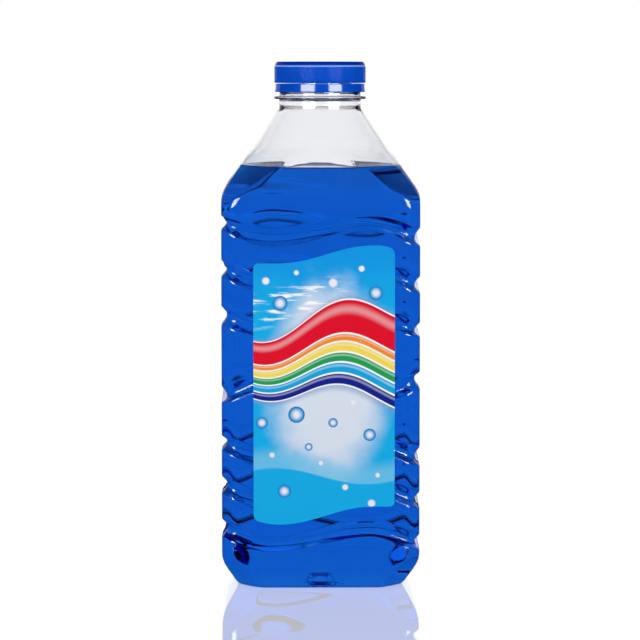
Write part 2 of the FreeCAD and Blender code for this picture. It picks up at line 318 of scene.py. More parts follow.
def skin(name, rows, wet_rows=()):
    """A closed mesh from a ring of points that is extruded row by row, with a face over each end."""
    bm = bmesh.new()
    column = bm.verts.layers.int.new("column")
    wet = bm.verts.layers.float.new("wet")
    ring = bmesh.ops.create_circle(bm, cap_ends=False, segments=len(rows[0]), radius=1.0)["verts"]
    for number, vert in enumerate(ring):
        vert[column] = number
        vert[wet] = 0 in wet_rows
        vert.co = Vector(rows[0][number]) * MM
    edges = list(bm.edges)
    bmesh.ops.contextual_create(bm, geom=edges)
    for level, row in enumerate(rows[1:], 1):
        grown = bmesh.ops.extrude_edge_only(bm, edges=edges)["geom"]
        edges = [part for part in grown if isinstance(part, bmesh.types.BMEdge)]
        for part in grown:
            if isinstance(part, bmesh.types.BMVert):
                part.co = Vector(row[part[column]]) * MM
                part[wet] = level in wet_rows
    bmesh.ops.contextual_create(bm, geom=edges)
    bmesh.ops.recalc_face_normals(bm, faces=bm.faces)
    for face in bm.faces:
        face.smooth = True
    mesh = bpy.data.meshes.new(name)
    bm.to_mesh(mesh)
    bm.free()
    piece = bpy.data.objects.new(name, mesh)
    bpy.context.collection.objects.link(piece)
    return piece


def neck_rows():
    """The outside of the neck finish from the support ring to the lip, and over it into the bore."""
    ring_low = 242.3
    ring_high = 243.7
    bead = 247.1
    plain = [(NECK_RADIUS + 0.3, ring_low), (22.6, ring_low), (23.0, ring_low + 0.2)]
    plain += [(23.2, ring_low + 0.55), (23.15, ring_high - 0.45), (22.8, ring_high - 0.15)]
    plain += [(22.2, ring_high), (NECK_RADIUS + 0.4, ring_high), (NECK_RADIUS, ring_high + 0.3)]
    plain += [(NECK_RADIUS, bead - 0.3), (NECK_RADIUS + 0.6, bead), (21.25, bead + 0.2)]
    plain += [(21.25, bead + 0.7), (20.9, bead + 1.2), (19.7, bead + 1.9)]
    rows = [turned_row(radius, height) for radius, height in plain]
    threaded = np.arange(bead + 2.1, NECK_TOP - 0.8, 0.32)
    rows += [turned_row(THREAD_ROOT, height, THREAD_DEPTH) for height in threaded]
    lip = [(THREAD_ROOT, NECK_TOP - 0.5), (THREAD_ROOT - 0.15, NECK_TOP - 0.12)]
    lip += [(THREAD_ROOT - 0.5, NECK_TOP), (BORE_RADIUS + 0.5, NECK_TOP)]
    lip += [(BORE_RADIUS + 0.12, NECK_TOP - 0.15), (BORE_RADIUS, NECK_TOP - 0.5)]
    lip += [(BORE_RADIUS, height) for height in (254.0, 250.0, 246.0, 243.5)]
    return rows + [turned_row(radius, height) for radius, height in lip]


THREAD_SPAN = (249.9, NECK_TOP - 1.6)


def wall_rows(inset, neck_radius, top, steps):
    """The base and the blown wall up to a height, with rows at these steps from each groove's middle."""
    sides = blown_sides(inset, neck_radius)
    wall = [blown_row(height, inset, sides) for height in blown_heights(top, steps)]
    return base_rows(inset, wall[0]) + wall


FILL_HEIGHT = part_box("detergent")[1].z / MM
WALL_TOP = 242.2
NECK_WALL = 0.9
outer_rows = wall_rows(0, NECK_RADIUS, WALL_TOP, FINE_STEPS) + neck_rows()
inner_rows = wall_rows(WALL, NECK_RADIUS - NECK_WALL, WALL_TOP, COARSE_STEPS)[::-1]
wetted = [
    number for number, row in enumerate(outer_rows + inner_rows)
    if number >= len(outer_rows) and row[0][2] <= FILL_HEIGHT + 0.01
]
bottle = skin("clear_bottle", outer_rows + inner_rows, wetted)


def new_material(name):
    """A material with an emptied node tree and its output."""
    material = bpy.data.materials.new(name)
    material.use_nodes = True
    tree = material.node_tree
    tree.nodes.clear()
    return material, tree, tree.nodes.new("ShaderNodeOutputMaterial")


def add_bump(tree, shader, scale, strength, distance, detail=2.0):
    """Fine unevenness of a surface, from noise in the object's own space."""
    place = tree.nodes.new("ShaderNodeTexCoord")
    noise = tree.nodes.new("ShaderNodeTexNoise")
    noise.inputs["Scale"].default_value = scale
    noise.inputs["Detail"].default_value = detail
    bump = tree.nodes.new("ShaderNodeBump")
    bump.inputs["Strength"].default_value = strength
    bump.inputs["Distance"].default_value = distance
    tree.links.new(place.outputs["Object"], noise.inputs["Vector"])
    tree.links.new(noise.outputs["Fac"], bump.inputs["Height"])
    tree.links.new(bump.outputs["Normal"], shader.inputs["Normal"])


POLYESTER_INDEX = 1.52
POLYESTER_TINT = (0.97, 0.975, 0.99, 1)


def clear_polyester():
    """Clear blown polyester, with the faint ripple that the mould leaves."""
    material, tree, output = new_material("clear_polyester")
    shader = tree.nodes.new("ShaderNodeBsdfPrincipled")
    shader.inputs["Base Color"].default_value = POLYESTER_TINT
    shader.inputs["Roughness"].default_value = 0.0
    shader.inputs["Transmission Weight"].default_value = 1.0
    shader.inputs["IOR"].default_value = POLYESTER_INDEX
    add_bump(tree, shader, 38.0, 0.12, 0.0006)
    tree.links.new(shader.outputs["BSDF"], output.inputs["Surface"])
    return material


def wetted_polyester():
    """The inside of the wall where liquid wets it. It can't be seen: the liquid's edge bends the light."""
    material, tree, output = new_material("wetted_polyester")
    shader = tree.nodes.new("ShaderNodeBsdfPrincipled")
    shader.inputs["Base Color"].default_value = POLYESTER_TINT
    shader.inputs["Alpha"].default_value = 0.0
    tree.links.new(shader.outputs["BSDF"], output.inputs["Surface"])
    return material


bottle.data.materials.append(clear_polyester())
bottle.data.materials.append(wetted_polyester())
wet_points = bottle.data.attributes["wet"].data
for face in bottle.data.polygons:
    face.material_index = int(all(wet_points[point].value for point in face.vertices))
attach(bottle, "bottle")
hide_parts("bottle")

# Detergent
# Clear blue liquid, poured in up to the shoulder. It touches the wall all over, so its mesh reaches a
# little way into the plastic, and it climbs the wall a little at its edge.
OVERLAP = 0.05
MENISCUS = 1.4
EDGE_CURVE = (
    (0.996, 0.75), (0.987, 0.45), (0.973, 0.2), (0.95, 0.05), (0.9, 0), (0.6, 0), (0.3, 0), (0.02, 0),
)
LIQUID_INDEX = 1.36
DYE = (0.03, 0.62, 0.92, 1)
DYE_DENSITY = 62.0


def liquid_top(wall):
    """The surface of the liquid, from the edge that climbs the wall to the middle."""
    level = FILL_HEIGHT - MENISCUS
    return [
        [(x * share, y * share, level + MENISCUS * climb) for x, y, _ in wall] for share, climb in EDGE_CURVE
    ]


liquid_sides = blown_sides(WALL - OVERLAP, NECK_RADIUS)
liquid_wall = wall_rows(WALL - OVERLAP, NECK_RADIUS, FILL_HEIGHT - 0.3, FINE_STEPS)
liquid_wall.append(blown_row(FILL_HEIGHT, WALL - OVERLAP, liquid_sides))
liquid = skin("blue_detergent", liquid_wall + liquid_top(liquid_wall[-1]), range(len(liquid_wall)))


def blue_liquid():
    """Clear liquid that takes out red, then green. Its edge bends light less where it wets the plastic."""
    material, tree, output = new_material("blue_liquid")
    shader = tree.nodes.new("ShaderNodeBsdfPrincipled")
    shader.inputs["Base Color"].default_value = (1, 1, 1, 1)
    shader.inputs["Roughness"].default_value = 0.0
    shader.inputs["Transmission Weight"].default_value = 1.0
    shader.inputs["IOR"].default_value = LIQUID_INDEX
    touch = tree.nodes.new("ShaderNodeAttribute")
    touch.attribute_name = "wet"
    index = tree.nodes.new("ShaderNodeMapRange")
    index.inputs["To Min"].default_value = LIQUID_INDEX
    index.inputs["To Max"].default_value = LIQUID_INDEX / POLYESTER_INDEX
    tree.links.new(touch.outputs["Fac"], index.inputs["Value"])
    tree.links.new(index.outputs[0], shader.inputs["IOR"])
    dye = tree.nodes.new("ShaderNodeVolumeAbsorption")
    dye.inputs["Color"].default_value = DYE
    dye.inputs["Density"].default_value = DYE_DENSITY
    tree.links.new(shader.outputs["BSDF"], output.inputs["Surface"])
    tree.links.new(dye.outputs["Volume"], output.inputs["Volume"])
    return material


liquid.data.materials.append(blue_liquid())
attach(liquid, "bottle")
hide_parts("detergent")

# Tamper band
# The ring that breaks off the cap when it is first opened and stays on the neck, moulded in the same
# blue polypropylene. It flares a little towards its foot, and its lip hooks under the bead of the neck.
band_low, band_high = (corner.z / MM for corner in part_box("tamper_band"))
BAND_FOOT_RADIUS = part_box("tamper_band")[1].x / MM
BAND_HEAD_RADIUS = BAND_FOOT_RADIUS - 0.3
BAND_BORE = 21.6
LIP_BORE = 20.8
BAND_COLUMNS = 240


def round_row(radius, height, count):
    """One plain round row."""
    angles = [2 * math.pi * step / count for step in range(count)]
    return [(radius * math.cos(angle), radius * math.sin(angle), height) for angle in angles]


def hoop(name, profile, count):
    """A closed ring turned from a closed profile of (radius, height)."""
    bm = bmesh.new()
    verts = [bm.verts.new(Vector((radius, 0, height)) * MM) for radius, height in profile]
    edges = [bm.edges.new((verts[index - 1], verts[index])) for index in range(len(verts))]
    bmesh.ops.spin(
        bm, geom=verts + edges, cent=(0, 0, 0), axis=(0, 0, 1), dvec=(0, 0, 0),
        angle=2 * math.pi, steps=count, use_merge=True, use_duplicate=False,
    )
    bmesh.ops.recalc_face_normals(bm, faces=bm.faces)
    for face in bm.faces:
        face.smooth = True
    mesh = bpy.data.meshes.new(name)
    bm.to_mesh(mesh)
    bm.free()
    piece = bpy.data.objects.new(name, mesh)
    bpy.context.collection.objects.link(piece)
    return piece


band = hoop("tamper_ring", [
    (LIP_BORE, band_low + 0.1), (LIP_BORE + 0.1, band_low), (BAND_FOOT_RADIUS - 0.25, band_low),
    (BAND_FOOT_RADIUS - 0.06, band_low + 0.06), (BAND_FOOT_RADIUS, band_low + 0.25),
    (BAND_FOOT_RADIUS - 0.05, band_low + 0.8), (BAND_HEAD_RADIUS + 0.02, band_low + 1.8),
    (BAND_HEAD_RADIUS, band_high - 0.3), (BAND_HEAD_RADIUS - 0.06, band_high - 0.07),
    (BAND_HEAD_RADIUS - 0.25, band_high), (BAND_BORE + 0.1, band_high), (BAND_BORE, band_high - 0.1),
    (BAND_BORE, band_low + 1.1), (BAND_BORE - 0.1, band_low + 1.0), (LIP_BORE + 0.1, band_low + 1.0),
    (LIP_BORE, band_low + 0.9),
], BAND_COLUMNS)
BLUE = (0.0, 0.075, 0.60, 1)


def blue_polypropylene(name, roughness, shine):
    """Blue moulded polypropylene with a fine flow grain, glossier where the mould was polished."""
    material, tree, output = new_material(name)
    shader = tree.nodes.new("ShaderNodeBsdfPrincipled")
    shader.inputs["Base Color"].default_value = BLUE
    shader.inputs["Roughness"].default_value = roughness
    shader.inputs["Specular IOR Level"].default_value = shine
    shader.inputs["IOR"].default_value = 1.5
    add_bump(tree, shader, 900.0, 0.08, 0.0001, 4.0)
    tree.links.new(shader.outputs["BSDF"], output.inputs["Surface"])
    return material, tree, shader


band.data.materials.append(blue_polypropylene("polished_polypropylene", 0.1, 0.5)[0])
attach(band, "bottle")
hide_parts("tamper_band")

# Cap
# Screw cap of blue polypropylene, injection moulded with fine upright ribs for grip and a thread inside.
# A cone cuts the ribs off at the top, so each ends in a small scallop below the rim, with a painted
# highlight on it.
cap_low, cap_high = (corner.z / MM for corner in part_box("cap"))
CAP_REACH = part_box("cap")[1].x / MM
RIB_COUNT = 120
RIB_DEPTH = 0.3
RIB_STEPS = 9
RIB_SQUARENESS = 14
CAP_BORE = 21.6
CAP_THREAD_DEPTH = 1.4
CAP_THREAD_SPAN = (251.4, 256.6)
UNDER_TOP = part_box("cap_liner")[1].z / MM
CONE_TOP = cap_high - 0.45
CONE_REACH = 22.15
CONE_SLOPE = 0.42
CONE_STEPS = 16
FOOT_CUT = 0.25
# Painted highlight: the pale blue laid on each scallop where the cone cuts a rib.
SCALLOP_HIGHLIGHT_BLUE = (0.30, 0.50, 0.95, 1)
# Painted shade: the darker blue laid on the cap's rim and top.
RIM_PAINTED_SHADE = (0.0, 0.03, 0.36, 1)


def rib_shape(step):
    """How far a rib stands out at a step round the cap: a low flat ridge between narrow valleys."""
    across = (step % RIB_STEPS) / RIB_STEPS * 2 - 1
    return 1 - across ** RIB_SQUARENESS


def cap_rows():
    """The cap from the middle of its top, down over the ribs, and up inside to the underside of the top."""
    count = RIB_COUNT * RIB_STEPS
    valley = CAP_REACH - RIB_DEPTH
    rows = [round_row(radius, height, count) for radius, height in (
        (0.5, cap_high - 0.25), (18.0, cap_high - 0.25), (19.2, cap_high - 0.22), (19.6, cap_high - 0.05),
        (20.2, cap_high), (21.4, cap_high), (21.8, cap_high - 0.08), (22.05, cap_high - 0.3),
    )]
    heights = [CONE_TOP - 0.2 * step for step in range(CONE_STEPS)]
    heights += [257.0, 256.0, 254.0, 252.0, cap_low + 0.5, cap_low + 0.2, cap_low]
    for height in heights:
        cone = CONE_REACH + (CONE_TOP - height) * CONE_SLOPE
        edge = FOOT_CUT * max(0, 1 - (height - cap_low) / 0.3)
        row = []
        for step in range(count):
            angle = 2 * math.pi * step / count
            reach = smooth_least(valley + RIB_DEPTH * rib_shape(step), cone, 0.12) - edge
            row.append((reach * math.cos(angle), reach * math.sin(angle), height))
        rows.append(row)
    rows.append(round_row(CAP_BORE + 0.15, cap_low, count))
    for height in np.arange(cap_low + 0.2, UNDER_TOP - 0.3, 0.35):
        row = []
        for step in range(count):
            turns = step / count
            reach = CAP_BORE
            for lap in range(-1, 4):
                line = THREAD_SPAN[0] + THREAD_PITCH * (turns + lap + 0.5)
                share = thread_share(height, line, *CAP_THREAD_SPAN)
                reach = min(reach, CAP_BORE - CAP_THREAD_DEPTH * share)
            angle = 2 * math.pi * turns
            row.append((reach * math.cos(angle), reach * math.sin(angle), float(height)))
        rows.append(row)
    rows.append(round_row(CAP_BORE, UNDER_TOP, count))
    rows.append(round_row(0.5, UNDER_TOP, count))
    return rows


def ribbed_polypropylene():
    """The band's plastic, with painted shade darkening the rim and a painted highlight where the cone cuts
    the ribs off.
    """
    material, tree, shader = blue_polypropylene("ribbed_polypropylene", 0.14, 0.03)
    place = tree.nodes.new("ShaderNodeTexCoord")
    parts = tree.nodes.new("ShaderNodeSeparateXYZ")
    level = tree.nodes.new("ShaderNodeCombineXYZ")
    reach = tree.nodes.new("ShaderNodeVectorMath")
    reach.operation = "LENGTH"
    cone = tree.nodes.new("ShaderNodeMath")
    cone.operation = "MULTIPLY_ADD"
    cone.inputs[1].default_value = CONE_SLOPE
    cut = tree.nodes.new("ShaderNodeMapRange")
    edge = (CONE_REACH + CONE_SLOPE * CONE_TOP) * MM
    for name, number in (("From Min", edge - 0.09 * MM), ("From Max", edge - 0.03 * MM)):
        cut.inputs[name].default_value = number
    mix = tree.nodes.new("ShaderNodeMix")
    mix.data_type = "RGBA"
    mix.inputs["B"].default_value = SCALLOP_HIGHLIGHT_BLUE
    # Painted shade: above this height the cap's rim and top are darkened.
    rim = tree.nodes.new("ShaderNodeMapRange")
    rim.inputs["From Min"].default_value = (CONE_TOP - 1.75) * MM
    rim.inputs["From Max"].default_value = (CONE_TOP - 1.15) * MM
    rim.inputs["To Min"].default_value = 1
    rim.inputs["To Max"].default_value = 0
    # Painted highlight mask: the scallops where the cone cuts the ribs, below the shaded rim.
    scallop_highlight_mask = tree.nodes.new("ShaderNodeMath")
    scallop_highlight_mask.operation = "MULTIPLY"
    shade = tree.nodes.new("ShaderNodeMix")
    shade.data_type = "RGBA"
    shade.inputs["A"].default_value = RIM_PAINTED_SHADE
    shade.inputs["B"].default_value = BLUE
    tree.links.new(parts.outputs["Z"], rim.inputs["Value"])
    tree.links.new(rim.outputs[0], shade.inputs["Factor"])
    tree.links.new(shade.outputs["Result"], mix.inputs["A"])
    tree.links.new(rim.outputs[0], scallop_highlight_mask.inputs[0])
    tree.links.new(cut.outputs[0], scallop_highlight_mask.inputs[1])
    tree.links.new(place.outputs["Object"], parts.inputs[0])
    tree.links.new(parts.outputs["X"], level.inputs["X"])
    tree.links.new(parts.outputs["Y"], level.inputs["Y"])
    tree.links.new(level.outputs[0], reach.inputs[0])
    tree.links.new(parts.outputs["Z"], cone.inputs[0])
    tree.links.new(reach.outputs["Value"], cone.inputs[2])
    tree.links.new(cone.outputs[0], cut.inputs["Value"])
    tree.links.new(scallop_highlight_mask.outputs[0], mix.inputs["Factor"])
    tree.links.new(mix.outputs["Result"], shader.inputs["Base Color"])
    return material


cap = skin("screw_cap", cap_rows())
cap.data.materials.append(ribbed_polypropylene())
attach(cap, "cap")
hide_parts("cap")

# Sealing disc
# A soft white foamed disc that the cap presses on the lip of the neck. The solid has its true form.
def sealing_foam():
    """Matt white foam with fine cells."""
    material, tree, output = new_material("sealing_foam")
    shader = tree.nodes.new("ShaderNodeBsdfPrincipled")
    shader.inputs["Base Color"].default_value = (0.78, 0.79, 0.80, 1)
    shader.inputs["Roughness"].default_value = 0.7
    add_bump(tree, shader, 2500.0, 0.3, 0.0002, 3.0)
    tree.links.new(shader.outputs["BSDF"], output.inputs["Surface"])
    return material


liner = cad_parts["cap_liner"]
liner.data.materials.clear()
liner.data.materials.append(sealing_foam())

# Front label
# Clear film printed on its back and stuck on the front flat. Its upper edge swells to the right in one
# long wave, and its lower edge follows it. The print is sky, a pale cloud, water, bubbles and ribbons.
label_low, label_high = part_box("front_label")
LABEL_HALF = (label_high.x - label_low.x) / 2 / MM
LABEL_MIDDLE = (label_high.x + label_low.x) / 2 / MM
LABEL_BACK = label_high.y / MM
LABEL_FRONT = label_low.y / MM
LABEL_CORNER = 2.5
LABEL_STEPS = 96
CORNER_CUTS = 9
TOP_LEVELS = (162.6, 171.4)
FOOT_LEVELS = (33.4, 42.3)
FOOT_LEFT_RISE = 2.4
CREST_AT = 26


def label_edge(across, low, high, left_level):
    """Height of an edge of the label: level at the left, and a swell that is highest near the right."""
    rise, _ = ramp(0, 1, (across + 22) / 46)
    return low + (high - low) * rise + left_level * min(max(-(across + 22) / 13, 0), 1) ** 2


def label_piece():
    """A strip of narrow columns between the two edges, given the film's thickness."""
    bm = bmesh.new()
    column = bm.verts.layers.int.new("column")
    places = []
    for step in range(CORNER_CUTS):
        angle = math.pi / 2 * step / (CORNER_CUTS - 1)
        places.append(-LABEL_HALF + LABEL_CORNER * (1 - math.cos(angle)))
    inner = LABEL_HALF - LABEL_CORNER
    places += [-inner + 2 * inner * step / LABEL_STEPS for step in range(1, LABEL_STEPS)]
    places += [-place for place in reversed(places[:CORNER_CUTS])]
    top, bottom = [], []
    for place in places:
        beyond = max(abs(place) - inner, 0)
        drop = LABEL_CORNER - math.sqrt(max(LABEL_CORNER ** 2 - beyond ** 2, 0))
        fall = 2.0 * max(place - CREST_AT, 0) ** 2 / 76
        top.append(label_edge(place, *TOP_LEVELS, 0) - drop - fall)
        bottom.append(label_edge(place, *FOOT_LEVELS, FOOT_LEFT_RISE) + drop)
    for edge in (bottom, top):
        for number, place in enumerate(places):
            vert = bm.verts.new(Vector((place + LABEL_MIDDLE, LABEL_FRONT, edge[number])) * MM)
            vert[column] = number
    bm.verts.ensure_lookup_table()
    count = len(places)
    for number in range(count - 1):
        bm.faces.new([bm.verts[i] for i in (number, number + 1, count + number + 1, count + number)])
    bmesh.ops.subdivide_edges(
        bm, edges=[edge for edge in bm.edges if abs(edge.verts[0].co.x - edge.verts[1].co.x) < 1e-6],
        cuts=40, use_grid_fill=True,
    )
    bmesh.ops.recalc_face_normals(bm, faces=bm.faces)
    film = bmesh.ops.extrude_face_region(bm, geom=list(bm.faces))["geom"]
    bmesh.ops.translate(
        bm, vec=(0, (LABEL_BACK - LABEL_FRONT) * MM, 0),
        verts=[part for part in film if isinstance(part, bmesh.types.BMVert)],
    )
    bmesh.ops.recalc_face_normals(bm, faces=bm.faces)
    mesh = bpy.data.meshes.new("printed_label")
    bm.to_mesh(mesh)
    bm.free()
    piece = bpy.data.objects.new("printed_label", mesh)
    bpy.context.collection.objects.link(piece)
    return piece


label = label_piece()


class Print:
    """Draws the label's print as layers of colour over the film, in millimetres across and up."""

    def __init__(self, tree):
        self.tree = tree
        place = tree.nodes.new("ShaderNodeTexCoord")
        grown = tree.nodes.new("ShaderNodeVectorMath")
        grown.operation = "SCALE"
        grown.inputs["Scale"].default_value = 1 / MM
        tree.links.new(place.outputs["Object"], grown.inputs[0])
        parts = tree.nodes.new("ShaderNodeSeparateXYZ")
        tree.links.new(grown.outputs[0], parts.inputs[0])
        flat = tree.nodes.new("ShaderNodeCombineXYZ")
        tree.links.new(parts.outputs["X"], flat.inputs["X"])
        tree.links.new(parts.outputs["Z"], flat.inputs["Y"])
        self.across, self.up, self.place = parts.outputs["X"], parts.outputs["Z"], flat.outputs[0]
        self.colour = None

    def sum(self, operation, *values):
        node = self.tree.nodes.new("ShaderNodeMath")
        node.operation = operation
        for socket, value in zip(node.inputs, values):
            if isinstance(value, (int, float)):
                socket.default_value = value
            else:
                self.tree.links.new(value, socket)
        return node.outputs[0]

    def step(self, value, start, end):
        """0 before start, 1 after end, smooth between them."""
        node = self.tree.nodes.new("ShaderNodeMapRange")
        node.interpolation_type = "SMOOTHSTEP"
        for name, number in (("From Min", start), ("From Max", end)):
            node.inputs[name].default_value = number
        self.tree.links.new(value, node.inputs["Value"])
        return node.outputs[0]

    def fade(self, value, start, end):
        """1 before start, 0 after end."""
        return self.sum("SUBTRACT", 1.0, self.step(value, start, end))

    def noise(self, scale, detail, stretch=(1, 1, 1)):
        spread = self.tree.nodes.new("ShaderNodeMapping")
        spread.inputs["Scale"].default_value = stretch
        self.tree.links.new(self.place, spread.inputs["Vector"])
        node = self.tree.nodes.new("ShaderNodeTexNoise")
        node.inputs["Scale"].default_value = scale
        node.inputs["Detail"].default_value = detail
        self.tree.links.new(spread.outputs[0], node.inputs["Vector"])
        return node.outputs["Fac"]

    def lay(self, colour, mask):
        """Print a colour over what is there, where the mask says."""
        mix = self.tree.nodes.new("ShaderNodeMix")
        mix.data_type = "RGBA"
        if isinstance(mask, (int, float)):
            mix.inputs["Factor"].default_value = mask
        else:
            self.tree.links.new(mask, mix.inputs["Factor"])
        if self.colour is None:
            mix.inputs["A"].default_value = (1, 1, 1, 1)
        else:
            self.tree.links.new(self.colour, mix.inputs["A"])
        mix.inputs["B"].default_value = (*colour, 1)
        self.colour = mix.outputs["Result"]

    def distance(self, across, up):
        node = self.tree.nodes.new("ShaderNodeVectorMath")
        node.operation = "DISTANCE"
        self.tree.links.new(self.place, node.inputs[0])
        node.inputs[1].default_value = (across, up, 0)
        return node.outputs["Value"]

    def bubble(self, across, up, radius, ringed):
        """A soft pale bubble, some with a blue rim."""
        away = self.distance(across, up)
        if ringed:
            self.lay(RIM_BLUE, self.fade(away, radius * 0.94, radius))
            self.lay(BUBBLE_BLUE, self.fade(away, radius * 0.6, radius * 0.86))
            self.lay(BUBBLE_WHITE, self.fade(away, radius * 0.2, radius * 0.7))
        else:
            self.lay(BUBBLE_WHITE, self.fade(away, radius * 0.55, radius))


def linear(red, green, blue):
    """A screen colour from 0 to 255, as light."""
    shares = (red / 255, green / 255, blue / 255)
    return tuple(c / 12.92 if c <= 0.04045 else ((c + 0.055) / 1.055) ** 2.4 for c in shares)


SKY = linear(0, 150, 228)
CYAN = linear(0, 172, 232)
CLOUD = linear(218, 226, 240)
HAZE = linear(120, 200, 236)
RIM_BLUE = linear(20, 130, 200)
BUBBLE_BLUE = linear(120, 180, 226)
BUBBLE_WHITE = linear(240, 236, 248)
WHITE = linear(250, 250, 255)
RIBBONS = (
    (linear(226, 0, 38), 17.0), (linear(244, 140, 40), 3.4), (linear(246, 218, 84), 4.6),
    (linear(28, 160, 84), 4.6), (linear(0, 166, 222), 5.0), (linear(12, 30, 140), 5.4),
)
SHADE = linear(120, 150, 205)
RIBBON_TOP = 140.0
RIBBON_GAP = 0.9
RIBBON_PIVOT = 112.0
LEFT_TAPER = 0.62
RIBBON_SHADOW = 4.5
CLOUD_MIDDLE = (4.0, 104.0)
STROKES_AT = 146.0
BUBBLES = (
    (-27, 154, 2.2, False), (-12, 158, 1.5, False), (6, 153, 2.6, False), (20, 160, 1.8, False),
    (27, 148, 3.6, True), (-20, 143, 3.8, True), (-29, 84, 3.0, True), (24, 78, 3.2, True),
    (-6, 72, 2.0, True), (12, 52, 1.8, False), (28, 58, 1.4, False), (-18, 50, 3.4, True),
    (-12, 88, 4.2, True), (6, 84, 2.4, True), (16, 94, 1.6, False), (0, 64, 1.4, False),
    (-24, 68, 1.6, False), (25, 44, 2.2, False),
)


def print_sky(ink):
    """Sky that pales downwards, with a ragged cloud and brush strokes, over a wavy water line."""
    drift = ink.sum("MULTIPLY", ink.sum("SUBTRACT", ink.noise(0.06, 4.0), 0.5), 26.0)
    ink.lay(SKY, 1.0)
    ink.lay(CYAN, ink.fade(ink.sum("ADD", ink.up, drift), 138.0, 168.0))
    wide = ink.sum("MULTIPLY", ink.sum("SUBTRACT", ink.across, CLOUD_MIDDLE[0]), 1.7)
    tall = ink.sum("SUBTRACT", ink.up, CLOUD_MIDDLE[1])
    squares = ink.sum("ADD", ink.sum("MULTIPLY", wide, wide), ink.sum("MULTIPLY", tall, tall))
    ink.lay(CLOUD, ink.fade(ink.sum("ADD", ink.sum("SQRT", squares), drift), 30.0, 60.0))
    grain = ink.step(ink.noise(0.5, 3.0, (0.16, 1.0, 1.0)), 0.52, 0.66)
    strokes = ink.sum("MULTIPLY", grain, ink.fade(ink.across, -2.0, 20.0))
    slanted = ink.sum("ADD", ink.up, ink.sum("MULTIPLY", ink.across, -0.22))
    away = ink.sum("ABSOLUTE", ink.sum("SUBTRACT", slanted, STROKES_AT))
    ink.lay(WHITE, ink.sum("MULTIPLY", strokes, ink.fade(away, 4.0, 11.0)))
    swell = ink.sum("MULTIPLY", ink.sum("SINE", ink.sum("MULTIPLY", ink.across, 0.07)), 4.0)
    water_line = ink.sum("ADD", ink.up, swell)
    ink.lay(HAZE, ink.sum("MULTIPLY", ink.fade(water_line, 62.0, 70.0), 0.7))
    ink.lay(CYAN, ink.fade(water_line, 57.0, 58.0))


def print_ribbons(ink):
    """Ribbons that wave across together, narrower at the left, each with a white edge and a soft glint."""
    phase = ink.sum("MULTIPLY", ink.sum("ADD", ink.across, 8.0), 0.085)
    line = ink.sum("SUBTRACT", ink.up, ink.sum("MULTIPLY", ink.sum("SINE", phase), 6.5))
    growth = ink.sum("MULTIPLY", ink.step(ink.across, -38.0, 30.0), 1.0 - LEFT_TAPER)
    taper = ink.sum("ADD", LEFT_TAPER, growth)
    spread = ink.sum("DIVIDE", ink.sum("SUBTRACT", line, RIBBON_PIVOT), taper)
    line = ink.sum("ADD", spread, RIBBON_PIVOT)
    level = RIBBON_TOP
    half = (sum(width for _, width in RIBBONS) + RIBBON_GAP * len(RIBBONS)) / 2
    away = ink.sum("ABSOLUTE", ink.sum("SUBTRACT", line, level - half))
    ink.lay(SHADE, ink.sum("MULTIPLY", ink.fade(away, half, half + RIBBON_SHADOW), 0.6))
    for colour, width in RIBBONS:
        place = ink.sum("SUBTRACT", line, level - width / 2)
        away = ink.sum("ABSOLUTE", place)
        ink.lay(WHITE, ink.fade(away, width / 2 + 0.6, width / 2 + 0.9))
        ink.lay(colour, ink.fade(away, width / 2 - 0.2, width / 2 + 0.1))
        glint = width * 0.22
        beside = ink.sum("ABSOLUTE", ink.sum("SUBTRACT", place, glint))
        ink.lay(WHITE, ink.sum("MULTIPLY", ink.fade(beside, 0.0, glint), 0.3))
        level -= width + RIBBON_GAP


def printed_film():
    """Glossy film over the print."""
    material, tree, output = new_material("printed_film")
    ink = Print(tree)
    print_sky(ink)
    print_ribbons(ink)
    for bubble in BUBBLES:
        ink.bubble(*bubble)
    shader = tree.nodes.new("ShaderNodeBsdfPrincipled")
    shader.inputs["Roughness"].default_value = 0.18
    shader.inputs["IOR"].default_value = 1.48
    tree.links.new(ink.colour, shader.inputs["Base Color"])
    tree.links.new(shader.outputs["BSDF"], output.inputs["Surface"])
    return material


label.data.materials.append(printed_film())
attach(label, "bottle")
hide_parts("front_label")

# Floor and light
# A glossy white sheet under the bottle, a white surround, soft lamps, and bright cards for the shine.
FLOOR_HALF = 6.0
FLOOR_DROP = -0.0001
FLOOR_GLOW = 1.3
FLOOR_SHADES = ((0.46, 1.0), (0.54, 0.5), (0.68, 0.4), (0.80, 1.0))
AMBIENT = 0.40


def stage_plane(name, half_wide, half_tall):
    """A flat sheet round the origin, facing up."""
    bm = bmesh.new()
    bmesh.ops.create_grid(bm, x_segments=1, y_segments=1, size=1.0)
    bmesh.ops.scale(bm, vec=(half_wide, half_tall, 1), verts=bm.verts)
    mesh = bpy.data.meshes.new(name)
    bm.to_mesh(mesh)
    bm.free()
    sheet = bpy.data.objects.new(name, mesh)
    bpy.context.collection.objects.link(sheet)
    return sheet


def any_ray(tree, *kinds):
    """1 for the kinds of ray that are named, and 0 for the rest."""
    path = tree.nodes.new("ShaderNodeLightPath")
    value = path.outputs[kinds[0]]
    for name in kinds[1:]:
        node = tree.nodes.new("ShaderNodeMath")
        node.operation = "MAXIMUM"
        tree.links.new(value, node.inputs[0])
        tree.links.new(path.outputs[name], node.inputs[1])
        value = node.outputs[0]
    return value


